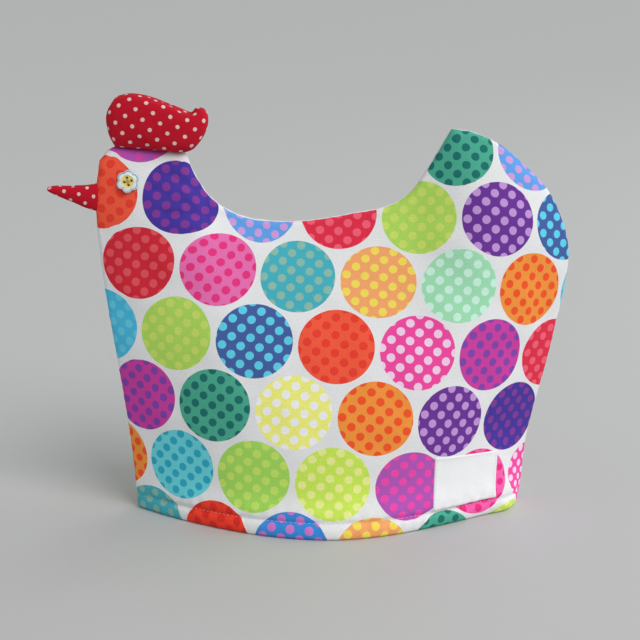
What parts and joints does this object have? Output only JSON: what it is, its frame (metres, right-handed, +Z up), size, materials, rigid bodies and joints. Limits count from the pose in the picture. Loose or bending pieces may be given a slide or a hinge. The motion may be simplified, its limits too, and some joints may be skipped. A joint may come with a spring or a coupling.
{
  "type": "tea cosy",
  "caption": "Hen-shaped padded cotton tea cosy, open at the hem, with a big-dot print, a stuffed spotted comb and beak, flower button eyes and a plain sewn label.",
  "frame": {"origin": "middle of the bounding box's underside, on the surface that the hem stands on", "axes": "+X towards the tail, -X towards the beak, -Y the front panel with the label, +Z up"},
  "size_m": [0.3656, 0.1594, 0.2986],
  "materials": {
    "printed_cotton": "plain-woven white cotton with a printed big-dot pattern, padded",
    "spotted_cotton": "crimson cotton with small white spots, stuffed firm",
    "button_resin": "pale flower button with a yellow centre",
    "label_tape": "white woven label tape, bare"
  },
  "bodies": {
    "root": {"panel_front": "printed_cotton", "panel_back": "printed_cotton", "comb": "spotted_cotton", "beak": "spotted_cotton", "eye_button_front": "button_resin", "eye_button_back": "button_resin", "label_patch": "label_tape"}
  },
  "joints": []
}
